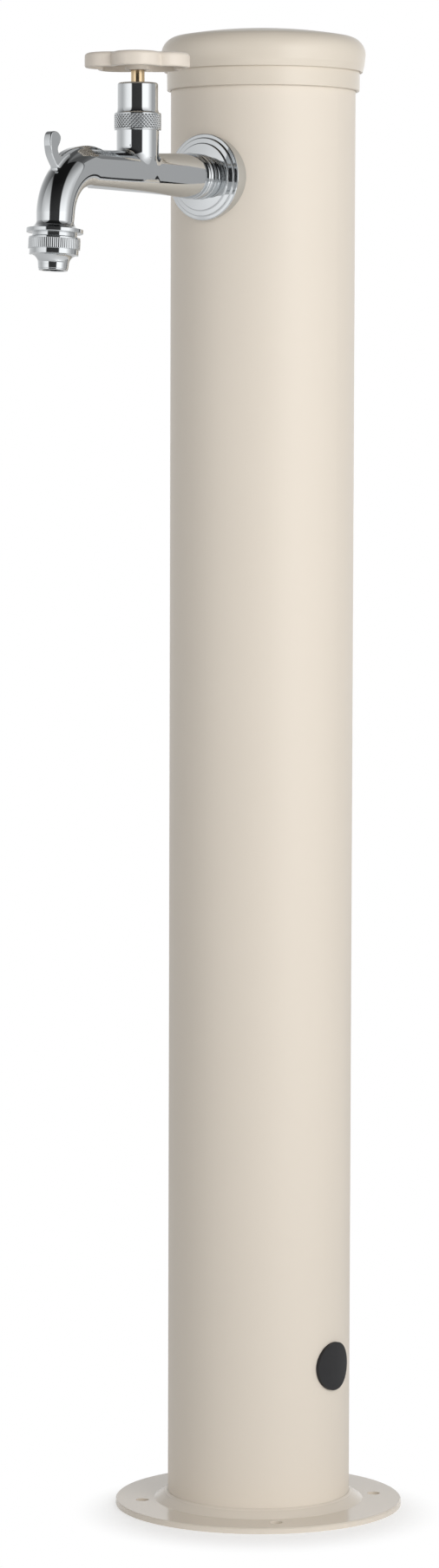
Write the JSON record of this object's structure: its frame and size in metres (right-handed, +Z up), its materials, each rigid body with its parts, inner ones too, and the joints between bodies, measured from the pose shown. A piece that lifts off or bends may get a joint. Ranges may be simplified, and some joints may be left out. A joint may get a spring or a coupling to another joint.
{
  "type": "garden tap fountain",
  "caption": "Free-standing garden tap column: painted round tube on a bolted foot, domed cap, chrome bib tap with lobed handwheel, bucket hook and screwed nozzle.",
  "frame": {"origin": "centre of the foot's underside, which is the centre of the bolt circle", "axes": "+Z up along the column, the tap points to -Y, the black side plug is on +X"},
  "size_m": [0.2, 0.3468, 1.0251],
  "materials": {
    "oyster_paint": "fine satin powder coat",
    "oyster_cap": "satin, matched to the tube",
    "black_rubber": "matt moulded rubber",
    "chrome_plate": "bright chrome plate on cast and turned brass",
    "raw_brass": "turned, unplated",
    "spindle_brass": "turned and polished",
    "copper_tube": "drawn copper, dull",
    "red_fibre": "pressed fibre",
    "cream_enamel": "satin enamel on a cast wheel",
    "screen_steel": "perforated stainless steel"
  },
  "bodies": {
    "column": {"base_flange": "oyster_paint", "column_tube": "oyster_paint", "wall_rosette": "chrome_plate", "tap_body": "chrome_plate", "saddle_washer": "black_rubber", "tail_backnut": "raw_brass", "tail_washer": "red_fibre", "inlet_elbow": "raw_brass", "elbow_olive": "copper_tube", "elbow_nut": "raw_brass", "supply_pipe": "copper_tube", "inlet_nut": "raw_brass", "inlet_olive": "copper_tube", "inlet_connector": "raw_brass", "headwork_body": "raw_brass", "headwork_washer": "red_fibre", "bonnet_cover": "chrome_plate", "gland_nut": "raw_brass", "gland_packing": "black_rubber"},
    "jumper": {"valve_jumper": "raw_brass", "valve_washer": "black_rubber", "washer_nut": "raw_brass"},
    "spindle": {"spindle": "spindle_brass", "handwheel": "cream_enamel", "wheel_washer": "chrome_plate", "wheel_screw": "chrome_plate"},
    "nozzle_insert": {"nozzle_gasket": "black_rubber", "jet_screen": "screen_steel"},
    "nozzle": {"nozzle_shell": "chrome_plate"},
    "cap": {"top_cap": "oyster_cap"},
    "plug": {"side_plug": "black_rubber"}
  },
  "joints": [
    {"name": "jumper_lift", "type": "slide", "parent": "column", "child": "jumper", "axis": [0, 0, 1], "range_m": [0, 0.00626]},
    {"name": "handwheel_turn", "type": "hinge", "parent": "jumper", "child": "spindle", "pos_m": [0, -0.1405, 0.99], "axis": [0, 0, 1], "range_deg": [0, 900]},
    {"name": "nozzle_drop", "type": "slide", "parent": "column", "child": "nozzle_insert", "axis": [0, -0.0698, -0.9976], "range_m": [0, 0.00727]},
    {"name": "nozzle_turn", "type": "hinge", "parent": "nozzle_insert", "child": "nozzle", "pos_m": [0, -0.22953, 0.8591], "axis": [0, -0.0698, -0.9976], "range_deg": [0, 1440]},
    {"name": "cap_lift", "type": "slide", "parent": "column", "child": "cap", "axis": [0, 0, 1], "range_m": [0, 0.02]},
    {"name": "plug_pull", "type": "slide", "parent": "column", "child": "plug", "axis": [1, 0, 0], "range_m": [0, 0.016]}
  ],
  "couplings": [
    {"joint": "jumper_lift", "follows": "handwheel_turn", "m_per_rad": 0.00039789},
    {"joint": "nozzle_drop", "follows": "nozzle_turn", "m_per_rad": 0.00028871}
  ]
}
